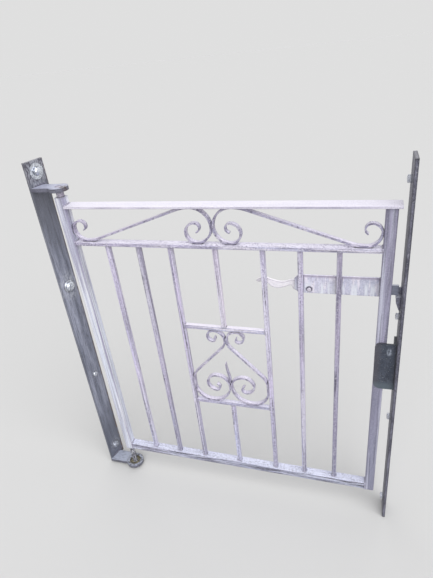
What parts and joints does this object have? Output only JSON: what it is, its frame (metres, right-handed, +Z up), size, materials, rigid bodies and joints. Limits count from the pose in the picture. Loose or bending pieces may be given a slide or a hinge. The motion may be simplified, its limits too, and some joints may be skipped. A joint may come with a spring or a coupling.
{
  "type": "wrought steel garden gate",
  "caption": "Single-leaf steel garden gate with scrollwork, hung on pins between two flat wall strips, with a lever latch, a catch and a stop.",
  "frame": {"origin": "on the flat back of the hinge strip, at the middle of its width and length", "axes": "+Z up, +X along the closed leaf from the hinge side to the latch side, +Y into the garden, the way the leaf opens"},
  "size_m": [0.9449, 0.0798, 1.0919],
  "materials": {
    "leaf_primer": "brushed primer, satin",
    "wall_strip_paint": "weathered slate grey paint",
    "stop_paint": "blue-black paint",
    "pin_steel": "greased steel with light rust"
  },
  "bodies": {
    "wall_fixings": {"hinge_strip": "wall_strip_paint", "top_hinge_lug": "wall_strip_paint", "bottom_hinge_lug": "wall_strip_paint", "latch_strip": "wall_strip_paint", "latch_catch": "wall_strip_paint", "stop_plate": "stop_paint", "stop_flange": "stop_paint"},
    "leaf": {"hinge_stile": "leaf_primer", "top_hinge_pin": "pin_steel", "bottom_hinge_pin": "pin_steel", "latch_stile": "leaf_primer", "top_rail": "leaf_primer", "second_rail": "leaf_primer", "bottom_rail": "leaf_primer", "bar_1": "leaf_primer", "bar_2": "leaf_primer", "bar_3": "leaf_primer", "bar_5": "leaf_primer", "bar_6": "leaf_primer", "bar_7": "leaf_primer", "centre_bar_upper": "leaf_primer", "centre_bar_lower": "leaf_primer", "panel_upper_rail": "leaf_primer", "panel_lower_rail": "leaf_primer", "heart_scroll_left": "leaf_primer", "heart_scroll_right": "leaf_primer", "heart_spike": "leaf_primer", "top_scroll_left": "leaf_primer", "top_scroll_right": "leaf_primer", "latch_plate": "leaf_primer", "lever_rivet": "leaf_primer"},
    "lever": {"latch_lever": "leaf_primer"}
  },
  "joints": [
    {"name": "gate_swing", "type": "hinge", "parent": "wall_fixings", "child": "leaf", "pos_m": [0.08126, -0.01876, 0], "axis": [0, 0, 1], "range_deg": [0, 90]},
    {"name": "latch_lift", "type": "hinge", "parent": "leaf", "child": "lever", "pos_m": [0.70626, -0.00276, 0.215], "axis": [0, -1, 0], "range_deg": [0, 20]}
  ]
}
